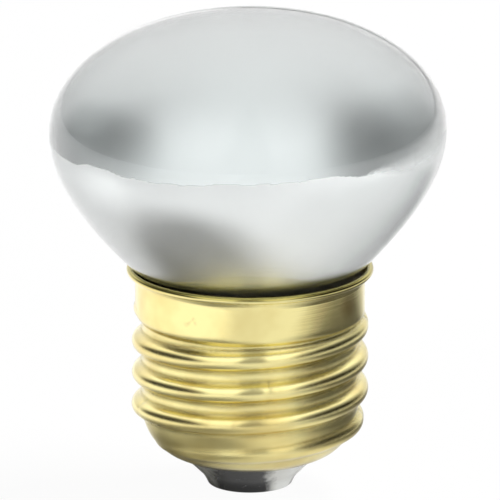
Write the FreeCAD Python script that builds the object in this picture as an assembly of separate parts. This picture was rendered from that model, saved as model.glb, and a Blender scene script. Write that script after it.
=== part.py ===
import FreeCAD, Part
import math
import os

V = FreeCAD.Vector
AXIS = V(0, 0, 1)

# Small reflector bulb on a medium Edison screw cap, standing on its contact.
# Millimetres and degrees, +Z up, the origin at the lowest point of the solder tip.

# Brass shell: its length from rim to lip, and its sheet
shell_length = 21.5
sheet = 0.25

# Rolled right-hand Edison thread; its head, full and tail lengths are counted in turns
thread_major_d = 26.1
thread_depth = 1.1
thread_pitch = 3.629
thread_crest_r = 1.0
thread_flank = 60.0
thread_head = 0.6
thread_head_drop = 0.86
thread_tail = 1.1
thread_tail_drop = 2.85
thread_above_lip = 1.87

# Plain band under the rim, set in from the crests, and the curled rim bead that stands out
band_length = 5.1
band_inset = 0.38
band_taper = 1.45
band_overlap = 0.16
bead_r = 0.42
bead_step = 0.95
flare_length = 1.2

# Curved-in bottom of the shell: two tangent bends and a straight lip, a share of the thread
bottom_bend_r = 5.9
bottom_bend = 50.0
knuckle_r = 4.0
knuckle_bend = 16.0
lip_share = 0.61

# Black glass insulator, moulded in the bottom of the shell; its base is a share of the lip
insulator_drop = 3.45
insulator_base_share = 0.593
insulator_edge_r = 0.3
insulator_cone = 50.0
insulator_base_slope = 20.0
insulator_sweep_r = 3.5
insulator_reach = 10.0
insulator_wall = 3.46
insulator_floor = 3.4
insulator_fit = 0.03

# Centre contact eyelet and its solder
contact_margin = 1.32
contact_thickness = 0.3
eyelet_d = 2.5
eyelet_bore = 1.5
eyelet_fit = 0.04
eyelet_proud = 0.4
solder_margin = 1.2
solder_height = 0.75

# Blown glass, one sealed envelope with its neck and tip-off; fullness is a share of the reach
glass_d = 43.8
widest_height = 15.2
face_height = 12.9
face_fullness = 0.562
shoulder_fullness = 0.597
bowl_fullness = 0.882
bowl_slope = 45.0
seat_gap = 0.2
neck_gap = 0.9
neck_blend_r = 5.0
neck_above_lip = 8.5
neck_end_r = 2.6
tip_off_d = 4.6
tip_off_length = 3.6
glass_lean = 1.0

# Cement between the neck and the band
cement_from_flare = 0.08
cement_from_thread = 0.2
cement_fit = 0.02

# Lead wires
lead_d = 0.5
lead_bend_r = 1.2
lead_fit = 0.02
centre_lead_inset = 2.2
centre_lead_drop = 3.0
side_lead_inset = 1.7
side_lead_drop = 2.4

# Heights that follow from the sizes, from the contact up
base_z = solder_height + contact_thickness
lip_z = base_z + insulator_drop
rim_z = lip_z + shell_length
bead_z = rim_z - bead_r
band_end_z = rim_z - band_length
neck_end_z = lip_z + neck_above_lip
cement_top_z = bead_z - flare_length - cement_from_flare
cement_end_z = band_end_z + cement_from_thread

# Radii that follow from the sizes
crest_r = thread_major_d / 2
valley_r = crest_r - thread_depth
band_r = crest_r - band_inset
bead_centre_r = band_r + bead_step - bead_r
lip_r = crest_r * lip_share
insulator_base_r = lip_r * insulator_base_share
contact_r = insulator_base_r - contact_margin
solder_r = contact_r - solder_margin
neck_r = valley_r - sheet - neck_gap

# Turns of the thread, from its start on the band to its end above the lip
thread_start_z = band_end_z + band_overlap + thread_pitch / 10
thread_turns = (thread_start_z - lip_z - thread_above_lip) / thread_pitch


def sin(a):
    return math.sin(math.radians(a))


def cos(a):
    return math.cos(math.radians(a))


def tan(a):
    return math.tan(math.radians(a))


def at(r, z):
    return V(r, 0, z)


def line(a, b):
    return Part.makeLine(a, b)


def bend(centre, r, a0, a1):
    # arc in the XZ plane, its angles counted from +X towards +Z
    ends = [centre + at(r * cos(a), r * sin(a)) for a in (a0, (a0 + a1) / 2, a1)]
    return Part.Arc(*ends).toShape()


def curve(*poles):
    smooth = Part.BezierCurve()
    smooth.setPoles(list(poles))
    return smooth.toShape()


def first(edge):
    return edge.valueAt(edge.FirstParameter)


def last(edge):
    return edge.valueAt(edge.LastParameter)


def outline(edges):
    return Part.Face(Part.Wire(Part.__sortEdges__(edges)))


def turned(edges):
    # solid of revolution about the axis of the cap
    return outline(edges).revolve(V(0, 0, 0), AXIS, 360)


def closed_on_axis(edges):
    # the edges run from the top of a form to its foot, and the axis closes them
    top = first(edges[0])
    foot = last(edges[-1])
    ring = list(edges)
    if foot.x > sheet / 10:
        ring.append(line(foot, at(0, foot.z)))
    ring.append(line(at(0, foot.z), at(0, top.z)))
    if top.x > sheet / 10:
        ring.append(line(at(0, top.z), top))
    return turned(ring)


def bottom_centres():
    # centres of the two bends of the curved-in bottom, worked upwards from the lip
    turn = bottom_bend + knuckle_bend
    large_in = bottom_bend_r * (1 - cos(bottom_bend))
    small_in = knuckle_r * (cos(bottom_bend) - cos(turn))
    flat_drop = (valley_r - large_in - small_in - lip_r) / tan(turn)
    small_drop = knuckle_r * (sin(turn) - sin(bottom_bend))
    top_z = lip_z + flat_drop + small_drop + bottom_bend_r * sin(bottom_bend)
    large = at(valley_r - bottom_bend_r, top_z)
    step = bottom_bend_r - knuckle_r
    small = large + at(step * cos(bottom_bend), -step * sin(bottom_bend))
    return large, small


def bottom_edges(grow, start=0):
    # the curved-in bottom, set out along its normal by grow, from an angle of the large bend
    turn = bottom_bend + knuckle_bend
    large, small = bottom_centres()
    wide = bend(large, bottom_bend_r + grow, -start, -bottom_bend)
    tight = bend(small, knuckle_r + grow, -bottom_bend, -turn)
    end = at(lip_r + grow * cos(turn), lip_z - grow * sin(turn))
    return [wide, tight, line(last(tight), end)]


def shell_core(grow):
    # the form under the thread: band, taper into the thread valley, curved-in bottom
    bottom = bottom_edges(grow)
    taper_z = band_end_z - band_taper
    handle = at(0, band_taper * 0.4)
    top = at(band_r + grow, bead_z - flare_length)
    edge = at(band_r + grow, band_end_z)
    foot = at(valley_r + grow, taper_z)
    sides = [line(top, edge), curve(edge, edge - handle, foot + handle, foot)]
    sides.append(line(foot, first(bottom[0])))
    if grow < 0:
        # the inner form runs out through the lip and leaves its edge square to the sheet
        lip = at(lip_r, lip_z)
        bottom += [line(last(bottom[2]), lip), line(lip, at(lip_r, lip_z - sheet))]
    return closed_on_axis(sides + bottom)


def ridge_section(grow):
    # one rolled ridge cut across, its crest at the origin and its foot under the valley
    crest = thread_crest_r + grow
    top = at(grow, 0)
    rise = crest * sin(thread_flank)
    shoulder = grow - crest * (1 - cos(thread_flank))
    foot = grow - (crest_r - valley_r) - 2 * sheet
    half = rise + (shoulder - foot) / tan(thread_flank)
    arc = Part.Arc(at(shoulder, rise), top, at(shoulder, -rise)).toShape()
    low = line(at(shoulder, -rise), at(foot, -half))
    back = line(at(foot, -half), at(foot, half))
    return Part.Wire([arc, low, back, line(at(foot, half), at(shoulder, rise))])


def crest_point(t):
    # crest line of the ridge, t turns below its start; both ends sink into the sheet
    head = max(1 - t / thread_head, 0)
    tail = max(t - thread_turns + thread_tail, 0) / thread_tail
    r = crest_r - thread_head_drop * head ** 8 - thread_tail_drop * tail ** 2.5
    a = 216 - 360 * t
    return V(r * cos(a), r * sin(a), thread_start_z - thread_pitch * t)


def ridge_span(start, end, grow):
    steps = max(int((end - start) * 12), 6)
    points = [crest_point(start + (end - start) * i / steps) for i in range(steps + 1)]
    path = Part.BSplineCurve()
    path.interpolate(points)
    turn = math.degrees(math.atan2(points[0].y, points[0].x))
    section = ridge_section(grow)
    section.Placement = FreeCAD.Placement(points[0], FreeCAD.Rotation(AXIS, turn))
    sweep = Part.BRepOffsetAPI.MakePipeShell(Part.Wire(path.toShape()))
    sweep.setBiNormalMode(AXIS)
    sweep.add(section, False, False)
    sweep.build()
    sweep.makeSolid()
    return sweep.shape()


def threaded(grow):
    # the ridge is laid on in spans: head, full turns, and the tail in two
    full_end = thread_turns - thread_tail
    marks = [0, thread_head, (thread_head + full_end) / 2, full_end]
    marks += [full_end + thread_tail / 2, thread_turns]
    body = shell_core(grow)
    for start, end in zip(marks, marks[1:]):
        body = body.fuse(ridge_span(start, end, grow))
    return body


def rim():
    # the sheet flares from the band, hugs the glass and curls out and down into a bead
    centre = at(bead_centre_r, bead_z)
    foot_z = bead_z - flare_length
    mid_z = bead_z - flare_length / 2
    low = band_r - sheet
    high = bead_centre_r - bead_r
    inner = curve(at(low, foot_z), at(low, mid_z), at(high, mid_z), at(high, bead_z))
    low += sheet
    high += sheet
    outer = curve(at(low, foot_z), at(low, mid_z), at(high, mid_z), at(high, bead_z))
    over = bend(centre, bead_r, 180, -60)
    under = bend(centre, bead_r - sheet, 180, -60)
    edges = [inner, over, line(last(over), last(under)), under, outer]
    edges.append(line(first(outer), first(inner)))
    return turned(edges)


def screw_shell():
    # sheet brass of one thickness: the outer form less the same form set in by the sheet
    return threaded(0).cut(threaded(-sheet)).fuse(rim())


def insulator():
    # fills the bottom of the shell, comes out through the lip and flares down to its base
    seat = bottom_edges(-sheet - insulator_fit, insulator_reach)
    round_c = at(insulator_base_r - insulator_edge_r, base_z + insulator_edge_r)
    slope = insulator_base_slope
    foot = round_c + at(insulator_edge_r * cos(slope), -insulator_edge_r * sin(slope))
    sweep_c = foot + at(insulator_sweep_r * cos(slope), -insulator_sweep_r * sin(slope))
    sweep = bend(sweep_c, insulator_sweep_r, 180 - insulator_cone, 180 - slope)
    edge = bend(round_c, insulator_edge_r, -slope, -90)
    neck = first(sweep)
    lip = last(seat[2])
    hole = eyelet_d / 2 + eyelet_fit
    floor_r = lip_r - insulator_wall
    floor_z = base_z + insulator_floor
    top = first(seat[0])
    edges = seat + [line(lip, neck), sweep, edge]
    points = [last(edge), at(hole, base_z), at(hole, floor_z), at(floor_r, floor_z), top]
    edges += [line(a, b) for a, b in zip(points, points[1:])]
    return turned(edges)


def centre_contact():
    # drawn brass eyelet: flat contact face under the insulator, tube up through it
    tube_r = eyelet_d / 2
    bore_r = eyelet_bore / 2
    top_z = base_z + insulator_floor + eyelet_proud
    points = [at(bore_r, solder_height), at(contact_r, solder_height), at(contact_r, base_z)]
    points += [at(tube_r, base_z), at(tube_r, top_z), at(bore_r, top_z)]
    return turned([line(a, b) for a, b in zip(points, points[1:] + points[:1])])


def solder_tip():
    # solder bead that closes the eyelet and makes the contact point
    ball = (solder_r ** 2 + solder_height ** 2) / (2 * solder_height)
    half = math.degrees(math.asin(solder_r / ball))
    dome = bend(at(0, ball), ball, -90 + half, -90)
    centre = at(0, solder_height)
    return turned([line(centre, at(solder_r, solder_height)), dome, line(at(0, 0), centre)])


def neck_edges(grow):
    # from the seat on the bead down to the end of the neck
    hold = bead_r + seat_gap - grow
    seat = at(bead_centre_r - hold * cos(bowl_slope), bead_z + hold * sin(bowl_slope))
    r = neck_r + grow
    blend_in = neck_blend_r * (1 - cos(bowl_slope))
    blend_drop = neck_blend_r * sin(bowl_slope)
    slant = (seat.x - r - blend_in) / tan(bowl_slope)
    start = at(r + blend_in, seat.z - slant)
    centre = at(r + neck_blend_r, start.z - blend_drop)
    blend = bend(centre, neck_blend_r, 180 - bowl_slope, 180)
    corner = at(r - neck_end_r, neck_end_z + neck_end_r)
    end = bend(corner, neck_end_r, 0, -90)
    return [line(seat, start), blend, line(last(blend), first(end)), end]


def leaned(solid):
    # the glass is set a little askew in its cap, about the centre of the rim
    solid.rotate(at(0, rim_z), V(0, 1, 0), -glass_lean)
    return solid


def glass_bulb():
    # face, shoulder and bowl in two curves that meet with equal curvature at the widest circle
    neck = neck_edges(0)
    seat = first(neck[0])
    r = glass_d / 2
    wide_z = rim_z + widest_height
    top_z = wide_z + face_height
    face_reach = r * face_fullness
    shoulder_reach = face_height * shoulder_fullness
    bowl_reach = (r - seat.x) * bowl_fullness
    hold = at(bowl_reach, bowl_reach / tan(bowl_slope))
    match = math.sqrt((r - seat.x - bowl_reach) / (r - face_reach))
    dome = curve(at(0, top_z), at(face_reach, top_z), at(r, wide_z + shoulder_reach), at(r, wide_z))
    bowl = curve(at(r, wide_z), at(r, wide_z - shoulder_reach * match), seat + hold, seat)
    tip_r = tip_off_d / 2
    shoulder = last(neck[3])
    tube = line(at(tip_r, shoulder.z), at(tip_r, shoulder.z - tip_off_length + tip_r))
    tip = bend(at(0, last(tube).z), tip_r, 0, -90)
    edges = [dome, bowl] + neck + [line(shoulder, first(tube)), tube, tip]
    return leaned(closed_on_axis(edges))


def basing_cement():
    # ring of cement moulded between the glass and the band
    r = band_r - sheet - cement_fit
    ring = Part.makeCylinder(r, cement_top_z - cement_end_z, at(0, cement_end_z))
    return ring.cut(leaned(closed_on_axis(neck_edges(cement_fit))))


def wire(points):
    # round wire along straight runs that tangent bends join
    path = []
    start = points[0]
    for before, corner, after in zip(points, points[1:], points[2:]):
        back = (before - corner).normalize()
        on = (after - corner).normalize()
        half = back.getAngle(on) / 2
        inward = (back + on).normalize()
        arc_start = corner + back * (lead_bend_r / math.tan(half))
        arc_middle = corner + inward * (lead_bend_r / math.sin(half) - lead_bend_r)
        arc_end = corner + on * (lead_bend_r / math.tan(half))
        path.append(line(start, arc_start))
        path.append(Part.Arc(arc_start, arc_middle, arc_end).toShape())
        start = arc_end
    path.append(line(start, points[-1]))
    ring = Part.Wire(Part.makeCircle(lead_d / 2, points[0], points[1] - points[0]))
    return Part.Wire(path).makePipeShell([ring], True, False)


def under_neck(x):
    # height of the leaning neck's end over a point of the X axis, less the fit
    return rim_z + x * tan(glass_lean) - (rim_z - neck_end_z) / cos(glass_lean) - lead_fit


def centre_lead():
    # from the neck's end to the axis and down through the eyelet to the solder
    x = tip_off_d / 2 + centre_lead_inset
    top = under_neck(x)
    high = neck_end_z - centre_lead_drop
    low = base_z + insulator_floor + eyelet_proud + lead_bend_r
    return wire([at(x, top), at(x, high), at(0, low), at(0, solder_height)])


def side_lead():
    # from the neck's end round to the wall of the shell and up to the cement
    x = side_lead_inset + neck_end_r - neck_r
    wall = -(valley_r - sheet - lead_fit - lead_d / 2)
    low = neck_end_z - side_lead_drop
    top = cement_end_z - lead_fit
    return wire([at(x, under_neck(x)), at(x, low), at(wall, low), at(wall, top)])


def main():
    os.makedirs("parts", exist_ok=True)
    nodes = {
        "screw_shell": screw_shell(),
        "insulator": insulator(),
        "centre_contact": centre_contact(),
        "solder_tip": solder_tip(),
        "glass_bulb": glass_bulb(),
        "basing_cement": basing_cement(),
        "centre_lead": centre_lead(),
        "side_lead": side_lead(),
    }
    for name, shape in nodes.items():
        shape.exportStep("parts/" + name + ".step")
        print(name, shape.isValid(), len(shape.Solids), round(shape.Volume, 2))


main()
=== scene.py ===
import math

import bpy
from bpy.props import FloatProperty, FloatVectorProperty, PointerProperty
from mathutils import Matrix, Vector


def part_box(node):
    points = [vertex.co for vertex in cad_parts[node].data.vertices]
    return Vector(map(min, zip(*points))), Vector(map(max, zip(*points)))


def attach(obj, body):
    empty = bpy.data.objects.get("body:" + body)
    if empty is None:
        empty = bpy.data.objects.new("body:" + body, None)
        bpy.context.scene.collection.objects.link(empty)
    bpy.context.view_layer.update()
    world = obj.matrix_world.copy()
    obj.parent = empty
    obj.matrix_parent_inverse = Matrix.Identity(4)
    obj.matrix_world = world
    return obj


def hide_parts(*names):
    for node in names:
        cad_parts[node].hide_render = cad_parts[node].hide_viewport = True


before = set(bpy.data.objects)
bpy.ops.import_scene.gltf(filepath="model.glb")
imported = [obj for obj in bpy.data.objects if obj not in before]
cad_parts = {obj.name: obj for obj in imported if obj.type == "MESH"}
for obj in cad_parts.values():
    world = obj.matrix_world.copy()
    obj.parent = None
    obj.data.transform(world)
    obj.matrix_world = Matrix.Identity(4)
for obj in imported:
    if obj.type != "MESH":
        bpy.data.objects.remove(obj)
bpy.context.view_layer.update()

bl_info = {
    "name": "Reflector bulb",
    "version": (1, 0, 0),
    "blender": (4, 5, 0),
    "location": "View3D > Sidebar > Bulb",
    "description": "Blown glass, its coatings and the cap finishes of a small reflector bulb",
    "category": "Object",
}

MM = 0.001
GLASS_IOR = 1.52


def linear(code):
    # sRGB hex value to the linear colour that shaders use
    parts = [int(code[i : i + 2], 16) / 255 for i in (1, 3, 5)]
    return tuple(c / 12.92 if c <= 0.04045 else ((c + 0.055) / 1.055) ** 2.4 for c in parts)


def colour(name, text, code):
    # a colour that the sidebar shows as a swatch
    return FloatVectorProperty(
        name=name, description=text, default=linear(code), subtype="COLOR", min=0, max=1
    )


def size(name, text, value):
    return FloatProperty(name=name, description=text, default=value, unit="LENGTH", precision=5)


def angle(name, text, degrees):
    return FloatProperty(name=name, description=text, default=math.radians(degrees), subtype="ANGLE")


class BulbGlass(bpy.types.PropertyGroup):
    widest: size("Widest circle", "Diameter of the glass", 43.8 * MM)
    belly: size("Belly height", "From the rim up to the widest circle", 15.2 * MM)
    face: size("Face height", "From the widest circle up to the top", 12.9 * MM)
    wall: size("Wall", "Thickness of the glass", 0.7 * MM)
    neck: size("Neck", "Radius of the neck", 10.8 * MM)
    neck_end: size("Neck end", "From the rim down to the neck's end", 13.0 * MM)
    mirror_edge: size("Mirror edge", "From the rim up to the aluminium's edge", 15.05 * MM)
    lean: angle("Lean", "How far the glass leans in its cap", 1)
    clear: colour("Glass", "Colour of the clear glass", "#FDFEFD")
    frost: colour("Frost", "Colour of the frosted face", "#F8FCFC")
    silver: colour("Aluminium", "Colour of the aluminium coating", "#F1F4F4")
    haze: colour("Aluminium, hazed", "Colour of the aluminium where it is thin", "#E8EAEB")


class BulbCap(bpy.types.PropertyGroup):
    brass: colour("Brass", "Colour of the clean brass", "#EEE2A0")
    tarnish: colour("Brass, tarnished", "Colour of the brass where it has dulled", "#DECB86")
    stain: colour("Stain", "Colour of the brown stains", "#A27C3C")
    # painted shade: darker brass along the curled rim, standing in for the shade under the glass and the
    # dark bowl it mirrors
    rim: colour("Rim", "Brass dulled by heat along the curled rim", "#B5AA62")
    insulator: colour("Black glass", "Colour of the insulator", "#070708")
    speck: colour("Speck", "Colour of the pale specks in the black glass", "#8C8C90")
    painted_highlight: colour("Bloom", "Pale streaks where the black glass cooled", "#E8EAE9")
    # painted highlight: pale streaks on the black glass that stand in for lamp reflections
    contact: colour("Contact", "Colour of the drawn brass eyelet", "#DCC97F")
    solder: colour("Solder", "Colour of the solder bead", "#C0C1C0")
    cement: colour("Cement", "Colour of the basing cement", "#A79E8A")
    wire: colour("Lead wire", "Colour of the nickel wire", "#B7B4AB")


class BulbStudio(bpy.types.PropertyGroup):
    elevation: angle("Elevation", "Camera above the horizon", 16)
    distance: size("Distance", "From the camera to the bulb", 1.5)
    width: size("View width", "What the picture spans at the bulb", 55.07 * MM)
    height: size("Aim height", "Height of the middle of the picture", 27.64 * MM)
    paper: colour("Paper", "Colour of the floor", "#F4F4F4")
    # painted shade: a dark patch on the floor at the right, which only reflections see
    cloth: colour("Cloth", "Dark cloth on the floor at the right", "#505050")


def add(tree, kind, settings=None, inputs=None):
    # one node with its settings, its values and the links that come into it
    node = tree.nodes.new(kind)
    for name, value in (settings or {}).items():
        setattr(node, name, value)
    for name, value in (inputs or {}).items():
        if isinstance(value, bpy.types.Node):
            value = value.outputs[0]
        if isinstance(value, bpy.types.NodeSocket):
            tree.links.new(value, node.inputs[name])
        else:
            node.inputs[name].default_value = value
    return node


def material(name):
    made = bpy.data.materials.new(name)
    made.use_nodes = True
    made.node_tree.nodes.clear()
    return made, made.node_tree


def dress(piece, *coats):
    piece.data.materials.clear()
    for coat in coats:
        piece.data.materials.append(coat)


def rim_height():
    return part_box("screw_shell")[1].z


def clear_blown_glass(glass):
    # soda-lime glass, blown and fire polished: sharp reflections with a faint slow waviness
    made, tree = material("soda-lime glass, blown")
    wave_width = 9 * MM
    spot = add(tree, "ShaderNodeTexCoord").outputs["Object"]
    wave = add(tree, "ShaderNodeTexNoise", inputs={"Vector": spot, "Scale": 1 / wave_width, "Detail": 1})
    form = add(
        tree, "ShaderNodeBump", inputs={"Height": wave, "Distance": 0.02 * MM, "Strength": 0.3}
    )
    shader = add(
        tree,
        "ShaderNodeBsdfPrincipled",
        inputs={
            "Base Color": (*glass.clear, 1),
            "Roughness": 0.0,
            "IOR": GLASS_IOR,
            "Transmission Weight": 1.0,
            "Normal": form,
        },
    )
    add(tree, "ShaderNodeOutputMaterial", inputs={"Surface": shader})
    return made


def coated_inside(glass):
    # inside of the glass: a satin-etched face that blurs what is seen through it, and below its
    # ragged edge evaporated aluminium, a soft mirror with a fine grain
    made, tree = material("satin-etched face and evaporated aluminium")
    step_width = 4.55 * MM
    step_height = 16.7 * MM
    step_rise = 0.5 * MM
    fade_start = 12 * MM
    fade_end = 19 * MM
    sharp_edge = 0.04 * MM
    faded_edge = 1.6 * MM
    grit_width = 0.3 * MM
    cloud_width = 6 * MM
    lean = glass.lean
    spot = add(tree, "ShaderNodeTexCoord").outputs["Object"]
    axis = (-math.sin(lean), 0, math.cos(lean))
    along = add(tree, "ShaderNodeVectorMath", {"operation": "DOT_PRODUCT"}, {0: spot, 1: axis})
    # the vapour ends in little steps a few millimetres long, and on one side it fades out
    stretch = (1 / step_width, 1 / step_width, 1 / step_height)
    cells = add(tree, "ShaderNodeMapping", inputs={"Vector": spot, "Scale": stretch})
    ragged = add(tree, "ShaderNodeTexNoise", inputs={"Vector": cells, "Scale": 1.0, "Detail": 1.0})
    steps = add(
        tree,
        "ShaderNodeMapRange",
        {"interpolation_type": "STEPPED"},
        {"Value": ragged, "From Min": 0.3, "From Max": 0.7, "To Max": step_rise, "Steps": 4},
    )
    level = add(tree, "ShaderNodeMath", {"operation": "ADD"}, {0: along.outputs["Value"], 1: steps})
    side = add(tree, "ShaderNodeSeparateXYZ", inputs={0: spot})
    soft = add(
        tree,
        "ShaderNodeMapRange",
        inputs={
            "Value": side.outputs["X"],
            "From Min": fade_start,
            "From Max": fade_end,
            "To Min": sharp_edge,
            "To Max": faded_edge,
        },
    )
    edge = rim_height() * math.cos(lean) + glass.mirror_edge + step_rise / 2
    low = add(tree, "ShaderNodeMath", {"operation": "SUBTRACT"}, {0: edge, 1: soft})
    high = add(tree, "ShaderNodeMath", {"operation": "ADD"}, {0: edge, 1: soft})
    face = add(tree, "ShaderNodeMapRange", inputs={"Value": level, "From Min": low, "From Max": high})
    grit = add(tree, "ShaderNodeTexNoise", inputs={"Vector": spot, "Scale": 1 / grit_width, "Detail": 2})
    etched = add(
        tree, "ShaderNodeBump", inputs={"Height": grit, "Distance": 0.02 * MM, "Strength": 0.25}
    )
    frost = add(
        tree,
        "ShaderNodeBsdfPrincipled",
        inputs={
            "Base Color": (*glass.frost, 1),
            "Roughness": 0.34,
            "IOR": GLASS_IOR,
            "Transmission Weight": 0.87,
            "Normal": etched,
        },
    )
    cloud = add(tree, "ShaderNodeTexNoise", inputs={"Vector": spot, "Scale": 1 / cloud_width, "Detail": 3})
    tone = add(
        tree,
        "ShaderNodeMix",
        {"data_type": "RGBA"},
        {0: cloud, 6: (*glass.haze, 1), 7: (*glass.silver, 1)},
    )
    grain = add(
        tree, "ShaderNodeBump", inputs={"Height": grit, "Distance": 0.012 * MM, "Strength": 0.35}
    )
    silver = add(
        tree,
        "ShaderNodeBsdfPrincipled",
        inputs={"Base Color": tone.outputs[2], "Metallic": 1.0, "Roughness": 0.21, "Normal": grain},
    )
    both = add(tree, "ShaderNodeMixShader", inputs={0: face, 1: silver, 2: frost})
    add(tree, "ShaderNodeOutputMaterial", inputs={"Surface": both})
    return made


def rolled_brass(cap):
    # thin cartridge brass, rolled: bright, with fine lines round with the roll, soft inner
    # corners where the roll pressed it, dull clouds and a few brown handling stains
    made, tree = material("cartridge brass, rolled")
    line_width = 0.2 * MM
    line_length = 16.7 * MM
    cloud_width = 7 * MM
    mark_width = 3 * MM
    rim = rim_height()
    stain_place = (11.2 * MM, -6.5 * MM, rim - 3.2 * MM)
    stain_edge = 3.6 * MM
    stain_core = 1.6 * MM
    rim_shade_end = rim - 0.5 * MM
    rim_shade_full = rim - 0.25 * MM
    thread_top = rim - 4.0 * MM
    band_foot = rim - 3.4 * MM
    spot = add(tree, "ShaderNodeTexCoord").outputs["Object"]
    stretch = (1 / line_length, 1 / line_length, 1 / line_width)
    round_about = add(tree, "ShaderNodeMapping", inputs={"Vector": spot, "Scale": stretch})
    lines = add(tree, "ShaderNodeTexNoise", inputs={"Vector": round_about, "Scale": 1.0, "Detail": 2})
    cloud = add(tree, "ShaderNodeTexNoise", inputs={"Vector": spot, "Scale": 1 / cloud_width, "Detail": 4})
    dull = add(tree, "ShaderNodeMapRange", inputs={"Value": cloud, "From Min": 0.4, "From Max": 0.7})
    clean = add(
        tree,
        "ShaderNodeMix",
        {"data_type": "RGBA"},
        {0: dull, 6: (*cap.brass, 1), 7: (*cap.tarnish, 1)},
    )
    marks = add(tree, "ShaderNodeTexNoise", inputs={"Vector": spot, "Scale": 1 / mark_width, "Detail": 5})
    blots = add(tree, "ShaderNodeMapRange", inputs={"Value": marks, "From Min": 0.7, "From Max": 0.85})
    # one larger stain on the right of the band, frayed by the same marks
    away = add(tree, "ShaderNodeVectorMath", {"operation": "DISTANCE"}, {0: spot, 1: stain_place})
    frayed = add(
        tree,
        "ShaderNodeMath",
        {"operation": "MULTIPLY_ADD"},
        {0: marks, 1: mark_width, 2: away.outputs["Value"]},
    )
    fingered = add(
        tree,
        "ShaderNodeMapRange",
        inputs={"Value": frayed, "From Min": stain_edge, "From Max": stain_core, "To Max": 0.6},
    )
    stains = add(tree, "ShaderNodeMath", {"operation": "MAXIMUM"}, {0: blots, 1: fingered})
    shade = add(
        tree,
        "ShaderNodeMix",
        {"data_type": "RGBA"},
        {0: stains, 6: clean.outputs[2], 7: (*cap.stain, 1)},
    )
    height = add(tree, "ShaderNodeSeparateXYZ", inputs={0: spot}).outputs["Z"]
    # painted shade: towards the curled rim the brass takes the darker rim colour, for the shade under the
    # glass
    rim_shade = add(
        tree,
        "ShaderNodeMapRange",
        inputs={"Value": height, "From Min": rim_shade_end, "From Max": rim_shade_full},
    )
    with_rim_shade = add(
        tree,
        "ShaderNodeMix",
        {"data_type": "RGBA"},
        {0: rim_shade, 6: shade.outputs[2], 7: (*cap.rim, 1)},
    )
    gloss = add(
        tree,
        "ShaderNodeMapRange",
        inputs={"Value": cloud, "From Min": 0.3, "From Max": 0.7, "To Min": 0.11, "To Max": 0.21},
    )
    # the thread's corners look rounder than the band's
    soft = add(
        tree,
        "ShaderNodeMapRange",
        inputs={
            "Value": height,
            "From Min": thread_top,
            "From Max": band_foot,
            "To Min": 0.95 * MM,
            "To Max": 0.05 * MM,
        },
    )
    corners = add(tree, "ShaderNodeBevel", {"samples": 8}, {"Radius": soft})
    form = add(
        tree,
        "ShaderNodeBump",
        inputs={"Height": lines, "Distance": 0.012 * MM, "Strength": 0.35, "Normal": corners},
    )
    shader = add(
        tree,
        "ShaderNodeBsdfPrincipled",
        inputs={"Base Color": with_rim_shade.outputs[2], "Metallic": 1.0, "Roughness": gloss, "Normal": form},
    )
    add(tree, "ShaderNodeOutputMaterial", inputs={"Surface": shader})
    return made


def pressed_black_glass(cap):
    # black cap glass, pressed hot into the shell: glossy, with pores, pale specks and, at both
    # sides of its front, a painted highlight drawn out in streaks
    made, tree = material("black cap glass, pressed")
    pore_width = 0.35 * MM
    flow_width = 2.5 * MM
    streak_width = 1.11 * MM
    streak_length = 4.55 * MM
    fray = 2.2 * MM
    right_start = 2.7 * MM
    right_full = 4.0 * MM
    left_start = -2.2 * MM
    left_full = -3.6 * MM
    front_start = -1.2 * MM
    front_full = -2.2 * MM
    spot = add(tree, "ShaderNodeTexCoord").outputs["Object"]
    pores = add(tree, "ShaderNodeTexNoise", inputs={"Vector": spot, "Scale": 1 / pore_width, "Detail": 2})
    flow = add(tree, "ShaderNodeTexNoise", inputs={"Vector": spot, "Scale": 1 / flow_width, "Detail": 2})
    specks = add(tree, "ShaderNodeMapRange", inputs={"Value": pores, "From Min": 0.7, "From Max": 0.74})
    shade = add(
        tree,
        "ShaderNodeMix",
        {"data_type": "RGBA"},
        {0: specks, 6: (*cap.insulator, 1), 7: (*cap.speck, 1)},
    )
    part = add(tree, "ShaderNodeSeparateXYZ", inputs={0: spot})
    # painted highlight: pale streaks at both sides of the front, in place of lamp reflections
    stretch = (1 / streak_width, 1 / streak_width, 1 / streak_length)
    drawn = add(tree, "ShaderNodeMapping", inputs={"Vector": spot, "Scale": stretch})
    streaks = add(tree, "ShaderNodeTexNoise", inputs={"Vector": drawn, "Scale": 1.0, "Detail": 3})
    frayed = add(
        tree,
        "ShaderNodeMath",
        {"operation": "MULTIPLY_ADD"},
        {0: streaks, 1: fray, 2: part.outputs["X"]},
    )
    right = add(
        tree,
        "ShaderNodeMapRange",
        inputs={"Value": frayed, "From Min": right_start, "From Max": right_full},
    )
    left = add(
        tree,
        "ShaderNodeMapRange",
        inputs={"Value": frayed, "From Min": left_start, "From Max": left_full, "To Max": 0.5},
    )
    both = add(tree, "ShaderNodeMath", {"operation": "MAXIMUM"}, {0: right, 1: left})
    front = add(
        tree,
        "ShaderNodeMapRange",
        inputs={"Value": part.outputs["Y"], "From Min": front_start, "From Max": front_full},
    )
    painted_highlight = add(tree, "ShaderNodeMath", {"operation": "MULTIPLY"}, {0: both, 1: front})
    with_painted_highlight = add(
        tree,
        "ShaderNodeMix",
        {"data_type": "RGBA"},
        {0: painted_highlight, 6: shade.outputs[2], 7: (*cap.painted_highlight, 1)},
    )
    waves = add(
        tree, "ShaderNodeBump", inputs={"Height": flow, "Distance": 0.15 * MM, "Strength": 0.35}
    )
    form = add(
        tree,
        "ShaderNodeBump",
        inputs={"Height": pores, "Distance": 0.03 * MM, "Strength": 0.2, "Normal": waves},
    )
    shader = add(
        tree,
        "ShaderNodeBsdfPrincipled",
        inputs={"Base Color": with_painted_highlight.outputs[2], "Roughness": 0.04, "IOR": GLASS_IOR, "Normal": form},
    )
    add(tree, "ShaderNodeOutputMaterial", inputs={"Surface": shader})
    return made


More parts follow.
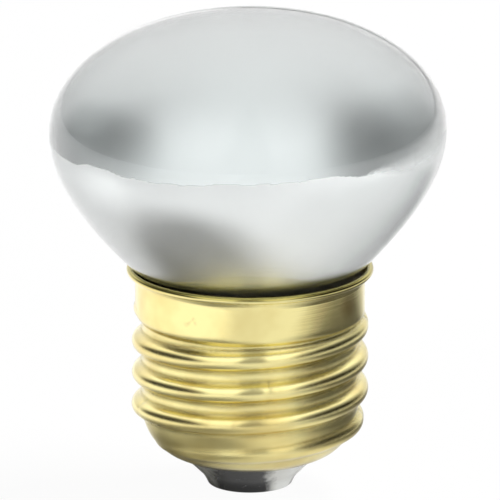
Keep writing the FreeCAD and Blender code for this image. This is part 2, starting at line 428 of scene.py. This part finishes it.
def plain_metal(name, tone, rough, grain):
    # drawn or solidified metal: its fine even grain makes the gloss a little uneven
    made, tree = material(name)
    dullest = rough + 0.15
    spot = add(tree, "ShaderNodeTexCoord").outputs["Object"]
    grains = add(tree, "ShaderNodeTexNoise", inputs={"Vector": spot, "Scale": 1 / grain, "Detail": 4})
    dull = add(
        tree,
        "ShaderNodeMapRange",
        inputs={"Value": grains, "From Min": 0.3, "From Max": 0.7, "To Min": rough, "To Max": dullest},
    )
    form = add(
        tree, "ShaderNodeBump", inputs={"Height": grains, "Distance": 0.02 * MM, "Strength": 0.3}
    )
    shader = add(
        tree,
        "ShaderNodeBsdfPrincipled",
        inputs={"Base Color": (*tone, 1), "Metallic": 1.0, "Roughness": dull, "Normal": form},
    )
    add(tree, "ShaderNodeOutputMaterial", inputs={"Surface": shader})
    return made


def baked_cement(cap):
    # basing cement, baked: matt and grainy
    made, tree = material("basing cement, baked")
    grain = 0.5 * MM
    spot = add(tree, "ShaderNodeTexCoord").outputs["Object"]
    grains = add(tree, "ShaderNodeTexNoise", inputs={"Vector": spot, "Scale": 1 / grain, "Detail": 5})
    form = add(
        tree, "ShaderNodeBump", inputs={"Height": grains, "Distance": 0.05 * MM, "Strength": 0.6}
    )
    shader = add(
        tree,
        "ShaderNodeBsdfPrincipled",
        inputs={"Base Color": (*cap.cement, 1), "Roughness": 0.9, "Normal": form},
    )
    add(tree, "ShaderNodeOutputMaterial", inputs={"Surface": shader})
    return made


def rays(tree):
    # rays of the camera, rays that were mirrored or went through glass, and of those the ones
    # that only bounced: from the brass, the black glass and the sheen of the clear glass
    seen = add(tree, "ShaderNodeLightPath")
    kinds = {0: seen.outputs["Is Glossy Ray"], 1: seen.outputs["Is Transmission Ray"]}
    mirrored = add(tree, "ShaderNodeMath", {"operation": "MAXIMUM"}, kinds)
    bounced = add(tree, "ShaderNodeMath", {"operation": "SUBTRACT", "use_clamp": True}, kinds)
    return seen.outputs["Is Camera Ray"], mirrored, bounced


def white_paper(studio):
    # matt paper floor: the camera sees it white with a faint shadow, and glass and metal see its
    # real tones with the shadow on it. Bounced rays also see painted shade, a dark patch at the right,
    # and painted light, paper that glows white under the front and brighter than white at the left
    made, tree = material("matt white paper")
    # painted shade: a dark patch at the right, which only bounced rays see
    painted_shade_place = (62 * MM, 10 * MM, 0)
    painted_shade_reach = (52 * MM, 62 * MM, 1)
    # painted light: for bounced rays the paper glows white under the front and brighter than white at the
    # left
    painted_light_place = (8 * MM, -10 * MM, 0)
    front_full = 6 * MM
    front_end = 18 * MM
    left_start = -12 * MM
    left_full = -42 * MM
    white_to_camera = 0.96
    white_to_mirrors = 0.04
    painted_light_in_front = 0.65
    painted_light_at_left = 0.85
    painted_light_strength = 1.45
    camera, mirrored, bounced = rays(tree)
    spot = add(tree, "ShaderNodeTexCoord").outputs["Object"]
    placed = add(
        tree,
        "ShaderNodeMapping",
        {"vector_type": "TEXTURE"},
        {"Vector": spot, "Location": painted_shade_place, "Scale": painted_shade_reach},
    )
    from_painted_shade = add(tree, "ShaderNodeVectorMath", {"operation": "LENGTH"}, {0: placed})
    off_painted_shade = add(
        tree,
        "ShaderNodeMapRange",
        {"interpolation_type": "SMOOTHSTEP"},
        {"Value": from_painted_shade.outputs["Value"], "From Min": 0.55, "From Max": 1.25},
    )
    plain = add(tree, "ShaderNodeMapRange", inputs={"Value": bounced, "To Min": 0.92, "To Max": 0.0})
    pale = add(tree, "ShaderNodeMath", {"operation": "MAXIMUM"}, {0: off_painted_shade, 1: plain})
    tone = add(
        tree,
        "ShaderNodeMix",
        {"data_type": "RGBA"},
        {0: pale, 6: (*studio.cloth, 1), 7: (*studio.paper, 1)},
    )
    away = add(tree, "ShaderNodeVectorMath", {"operation": "DISTANCE"}, {0: spot, 1: painted_light_place})
    front = add(
        tree,
        "ShaderNodeMapRange",
        {"interpolation_type": "SMOOTHSTEP"},
        {
            "Value": away.outputs["Value"],
            "From Min": front_full,
            "From Max": front_end,
            "To Min": painted_light_in_front,
            "To Max": 0,
        },
    )
    across = add(tree, "ShaderNodeSeparateXYZ", inputs={0: spot}).outputs["X"]
    left = add(
        tree,
        "ShaderNodeMapRange",
        {"interpolation_type": "SMOOTHSTEP"},
        {"Value": across, "From Min": left_start, "From Max": left_full, "To Max": painted_light_at_left},
    )
    # painted light: the glowing pools, seen only by bounced rays
    bright = add(tree, "ShaderNodeMath", {"operation": "MAXIMUM"}, {0: front, 1: left})
    painted_glow = add(tree, "ShaderNodeMath", {"operation": "MULTIPLY"}, {0: bright, 1: bounced})
    painted_left_glow = add(tree, "ShaderNodeMath", {"operation": "MULTIPLY"}, {0: left, 1: bounced})
    level = add(
        tree, "ShaderNodeMapRange", inputs={"Value": painted_left_glow, "To Min": 1.0, "To Max": painted_light_strength}
    )
    faint = add(
        tree, "ShaderNodeMath", {"operation": "MULTIPLY"}, {0: mirrored, 1: white_to_mirrors}
    )
    most = add(tree, "ShaderNodeMath", {"operation": "MULTIPLY"}, {0: camera, 1: white_to_camera})
    some = add(tree, "ShaderNodeMath", {"operation": "MAXIMUM"}, {0: faint, 1: painted_glow})
    share = add(tree, "ShaderNodeMath", {"operation": "MAXIMUM"}, {0: some, 1: most})
    matt = add(tree, "ShaderNodeBsdfDiffuse", inputs={"Color": tone.outputs[2]})
    white = add(tree, "ShaderNodeEmission", inputs={"Color": (1, 1, 1, 1), "Strength": level})
    both = add(tree, "ShaderNodeMixShader", inputs={0: share, 1: matt, 2: white})
    add(tree, "ShaderNodeOutputMaterial", inputs={"Surface": both})
    return made


def studio_room(world):
    # pale room, brighter overhead and dark at both sides, as glass and metal mirror it. The camera
    # sees plain white, and matt faces get a little even fill. A direction is given by its part
    # along X, Y or Z, from -1 to 1
    turned = 0.04
    wall_start = 0.66
    wall_full = 0.88
    wall_light = 0.06
    overhead_light = 1.52
    stand_slope = 0.26
    stand_light = 0.35
    right_light = 0.2
    fill_light = 0.08
    world.use_nodes = True
    tree = world.node_tree
    tree.nodes.clear()
    camera, mirrored, bounced = rays(tree)
    way = add(tree, "ShaderNodeTexCoord").outputs["Generated"]
    part = add(tree, "ShaderNodeSeparateXYZ", inputs={0: way})
    shifted = add(tree, "ShaderNodeMath", {"operation": "SUBTRACT"}, {0: part.outputs["X"], 1: turned})
    aside = add(tree, "ShaderNodeMath", {"operation": "ABSOLUTE"}, {0: shifted})
    walls = add(
        tree,
        "ShaderNodeMapRange",
        {"interpolation_type": "SMOOTHSTEP"},
        {"Value": aside, "From Min": wall_start, "From Max": wall_full, "To Min": 1, "To Max": wall_light},
    )
    above = add(
        tree,
        "ShaderNodeMapRange",
        {"interpolation_type": "SMOOTHSTEP"},
        {
            "Value": part.outputs["Z"],
            "From Min": 0.1,
            "From Max": 0.65,
            "To Min": 1.0,
            "To Max": overhead_light,
        },
    )
    # the camera and its stand, straight in front, and a dim right side: bounced rays see them
    ahead = add(tree, "ShaderNodeMath", {"operation": "MULTIPLY"}, {0: part.outputs["Y"], 1: -stand_slope})
    middle = add(tree, "ShaderNodeMath", {"operation": "ABSOLUTE"}, {0: part.outputs["X"]})
    past = add(tree, "ShaderNodeMath", {"operation": "SUBTRACT"}, {0: middle, 1: ahead})
    stand = add(
        tree,
        "ShaderNodeMapRange",
        {"interpolation_type": "SMOOTHSTEP"},
        {"Value": past, "From Min": -0.1, "From Max": 0.06, "To Min": stand_light},
    )
    right = add(
        tree,
        "ShaderNodeMapRange",
        {"interpolation_type": "SMOOTHSTEP"},
        {
            "Value": part.outputs["X"],
            "From Min": 0.5,
            "From Max": 0.78,
            "To Min": 1.0,
            "To Max": right_light,
        },
    )
    dim = add(tree, "ShaderNodeMath", {"operation": "MULTIPLY"}, {0: stand, 1: right})
    hidden = add(tree, "ShaderNodeMix", {"data_type": "FLOAT"}, {0: bounced, 2: 1.0, 3: dim})
    open_room = add(tree, "ShaderNodeMath", {"operation": "MULTIPLY"}, {0: walls, 1: hidden})
    room = add(tree, "ShaderNodeMath", {"operation": "MULTIPLY"}, {0: open_room, 1: above})
    fill = add(tree, "ShaderNodeMix", {"data_type": "FLOAT"}, {0: mirrored, 2: fill_light, 3: room})
    level = add(tree, "ShaderNodeMix", {"data_type": "FLOAT"}, {0: camera, 2: fill, 3: 1.0})
    back = add(tree, "ShaderNodeBackground", inputs={"Color": (1, 1, 1, 1), "Strength": level})
    add(tree, "ShaderNodeOutputWorld", inputs={"Surface": back})


def lamp(name, kind, place, aim, watts):
    # soft lamp that lights matt faces but is itself hidden from mirrors
    light = bpy.data.lights.new(name, kind)
    light.energy = watts
    holder = bpy.data.objects.new(name, light)
    bpy.context.scene.collection.objects.link(holder)
    holder.location = place
    holder.rotation_euler = (Vector(aim) - Vector(place)).to_track_quat("-Z", "Y").to_euler()
    holder.visible_glossy = False
    holder.visible_transmission = False
    return light


def deselect():
    if bpy.context.object and bpy.context.object.mode != "OBJECT":
        bpy.ops.object.mode_set(mode="OBJECT")
    bpy.ops.object.select_all(action="DESELECT")


def bezier(poles, count):
    points = []
    for i in range(1, count + 1):
        t = i / count
        weights = ((1 - t) ** 3, 3 * t * (1 - t) ** 2, 3 * t * t * (1 - t), t**3)
        points.append(tuple(sum(w * p[k] for w, p in zip(weights, poles)) for k in (0, 1)))
    return points


def arc(centre, radius, start, end, count):
    points = []
    for i in range(1, count + 1):
        a = math.radians(start + (end - start) * i / count)
        points.append((centre[0] + radius * math.cos(a), centre[1] + radius * math.sin(a)))
    return points


def glass_profile(glass):
    # radius and height above the rim, from the middle of the face down to the tip-off
    bead_r = 0.42 * MM
    seat_gap = 0.2 * MM
    face_fullness = 0.562
    shoulder_fullness = 0.597
    bowl_fullness = 0.882
    blend_r = 5 * MM
    neck_corner = 2.6 * MM
    tip_r = 2.3 * MM
    tip_length = 1.3 * MM
    curve_steps = 36
    bend_steps = 8
    # the bowl comes down at 45 degrees, just clear of the rim's bead
    diagonal = math.sqrt(0.5)
    hold = (bead_r + seat_gap) * diagonal
    seat = (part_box("screw_shell")[1].y - bead_r - hold, hold - bead_r)
    r = glass.widest / 2
    top = glass.belly + glass.face
    face = r * face_fullness
    shoulder = glass.face * shoulder_fullness
    bowl = (r - seat[0]) * bowl_fullness
    widest = (r, glass.belly)
    points = [(0, top)]
    points += bezier([(0, top), (face, top), (r, glass.belly + shoulder), widest], curve_steps)
    # as round below the widest circle as above it
    match = math.sqrt((r - seat[0] - bowl) / (r - face))
    below = (r, glass.belly - shoulder * match)
    points += bezier([widest, below, (seat[0] + bowl, seat[1] + bowl), seat], curve_steps)
    blend_start = glass.neck + blend_r * (1 - diagonal)
    blend_top = seat[1] - (seat[0] - blend_start)
    points.append((blend_start, blend_top))
    blend_centre = (glass.neck + blend_r, blend_top - blend_r * diagonal)
    points += arc(blend_centre, blend_r, 135, 180, bend_steps)
    corner = (glass.neck - neck_corner, neck_corner - glass.neck_end)
    points.append((glass.neck, corner[1]))
    points += arc(corner, neck_corner, 0, -90, bend_steps)
    tip = -glass.neck_end - tip_length
    points.append((tip_r, -glass.neck_end))
    points.append((tip_r, tip))
    points += arc((0, tip), tip_r, 0, -90, bend_steps)[:-1]
    points.append((0, tip - tip_r))
    return points


class BULB_OT_glass(bpy.types.Operator):
    """Blow the glass: its wall is spun from one outline and coated inside"""

    bl_idname = "bulb.glass"
    bl_label = "Blown glass"

    def execute(self, context):
        glass = context.scene.bulb_glass
        rim = rim_height()
        sides = 160
        join = 0.001 * MM
        points = [Vector((r, 0, rim + z)) for r, z in glass_profile(glass)]
        deselect()
        bpy.ops.mesh.primitive_plane_add(size=MM, location=points[0])
        piece = context.object
        piece.name = "glass_envelope"
        bpy.ops.object.transform_apply(location=True)
        bpy.ops.object.mode_set(mode="EDIT")
        bpy.ops.mesh.select_all(action="SELECT")
        bpy.ops.mesh.merge(type="CENTER")
        for here, there in zip(points, points[1:]):
            bpy.ops.mesh.extrude_region_move(TRANSFORM_OT_translate={"value": there - here})
        bpy.ops.mesh.select_all(action="SELECT")
        bpy.ops.mesh.spin(steps=sides, angle=2 * math.pi, center=(0, 0, 0), axis=(0, 0, 1))
        bpy.ops.mesh.select_all(action="SELECT")
        bpy.ops.mesh.remove_doubles(threshold=join)
        bpy.ops.mesh.normals_make_consistent(inside=False)
        # with no window a positive turn about Y leans the top towards -X, as in the photo
        bpy.ops.transform.rotate(value=glass.lean, orient_axis="Y", center_override=(0, 0, rim))
        bpy.ops.object.mode_set(mode="OBJECT")
        # the wall goes inwards, and its inner faces take the second material
        wall = piece.modifiers.new("wall", "SOLIDIFY")
        wall.thickness = glass.wall
        wall.offset = -1
        wall.use_even_offset = True
        wall.material_offset = 1
        dress(piece, clear_blown_glass(glass), coated_inside(glass))
        bpy.ops.object.modifier_apply(modifier="wall")
        bpy.ops.object.shade_smooth()
        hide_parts("glass_bulb")
        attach(piece, "root")
        return {"FINISHED"}


class BULB_OT_cap(bpy.types.Operator):
    """Finish the cap: brass shell, black glass, contact, solder, cement and leads"""

    bl_idname = "bulb.cap"
    bl_label = "Cap finishes"

    def execute(self, context):
        cap = context.scene.bulb_cap
        wire = plain_metal("nickel wire, drawn", cap.wire, rough=0.25, grain=0.5 * MM)
        coats = {
            "screw_shell": rolled_brass(cap),
            "insulator": pressed_black_glass(cap),
            "centre_contact": plain_metal("brass, drawn", cap.contact, rough=0.2, grain=0.6 * MM),
            "solder_tip": plain_metal("tin solder, wiped", cap.solder, rough=0.3, grain=1.1 * MM),
            "basing_cement": baked_cement(cap),
            "centre_lead": wire,
            "side_lead": wire,
        }
        for name, coat in coats.items():
            dress(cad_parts[name], coat)
        return {"FINISHED"}


class BULB_OT_studio(bpy.types.Operator):
    """Set the stage: paper floor, pale room, soft lamps and the camera"""

    bl_idname = "bulb.studio"
    bl_label = "Studio"

    def execute(self, context):
        scene = context.scene
        studio = scene.bulb_studio
        floor_width = 12
        deselect()
        bpy.ops.mesh.primitive_plane_add(size=floor_width, location=(0, 0, 0))
        floor = context.object
        floor.name = "floor"
        dress(floor, white_paper(studio))
        scene.world = bpy.data.worlds.new("studio")
        studio_room(scene.world)
        key = lamp("key", "AREA", place=(0.46, 0.306, 1.06), aim=(0, 0, 0), watts=13.2)
        key.size = 0.4
        right = lamp("right", "AREA", place=(0.9, -0.3, 0.36), aim=(0, 0, 0.01), watts=5.6)
        right.size = 0.3
        front = lamp("front", "AREA", place=(0.2, -1.08, 0.5), aim=(0, 0, 0.01), watts=1.5)
        front.size = 0.4
        # a pool of light on the paper at the left, for the bowl to mirror
        pool = lamp("pool", "SPOT", place=(-0.09, 0.01, 0.4), aim=(-0.09, 0.01, 0), watts=2.2)
        pool.spot_size = math.radians(13)
        pool.spot_blend = 0.8
        camera = bpy.data.objects.new("camera", bpy.data.cameras.new("camera"))
        scene.collection.objects.link(camera)
        scene.camera = camera
        back = Vector((0, -math.cos(studio.elevation), math.sin(studio.elevation)))
        camera.location = Vector((0, 0, studio.height)) + back * studio.distance
        camera.rotation_euler = (-back).to_track_quat("-Z", "Y").to_euler()
        film_width = 36
        camera.data.sensor_width = film_width
        camera.data.lens = film_width * studio.distance / studio.width
        camera.data.clip_start = 0.01
        camera.data.clip_end = 50
        scene.view_settings.view_transform = "Standard"
        return {"FINISHED"}


class BULB_PT_panel(bpy.types.Panel):
    bl_idname = "BULB_PT_panel"
    bl_label = "Reflector bulb"
    bl_space_type = "VIEW_3D"
    bl_region_type = "UI"
    bl_category = "Bulb"

    def draw(self, context):
        scene = context.scene
        for group in (scene.bulb_glass, scene.bulb_cap, scene.bulb_studio):
            for name in group.__annotations__:
                self.layout.prop(group, name)
        for operator in (BULB_OT_glass, BULB_OT_cap, BULB_OT_studio):
            self.layout.operator(operator.bl_idname)


classes = (
    BulbGlass,
    BulbCap,
    BulbStudio,
    BULB_OT_glass,
    BULB_OT_cap,
    BULB_OT_studio,
    BULB_PT_panel,
)


def register():
    for item in classes:
        bpy.utils.register_class(item)
    bpy.types.Scene.bulb_glass = PointerProperty(type=BulbGlass)
    bpy.types.Scene.bulb_cap = PointerProperty(type=BulbCap)
    bpy.types.Scene.bulb_studio = PointerProperty(type=BulbStudio)


def unregister():
    del bpy.types.Scene.bulb_glass
    del bpy.types.Scene.bulb_cap
    del bpy.types.Scene.bulb_studio
    for item in reversed(classes):
        bpy.utils.unregister_class(item)


def main():
    register()
    bpy.ops.bulb.glass()
    bpy.ops.bulb.cap()
    bpy.ops.bulb.studio()
    bpy.context.view_layer.update()


if __name__ == "__main__":
    main()
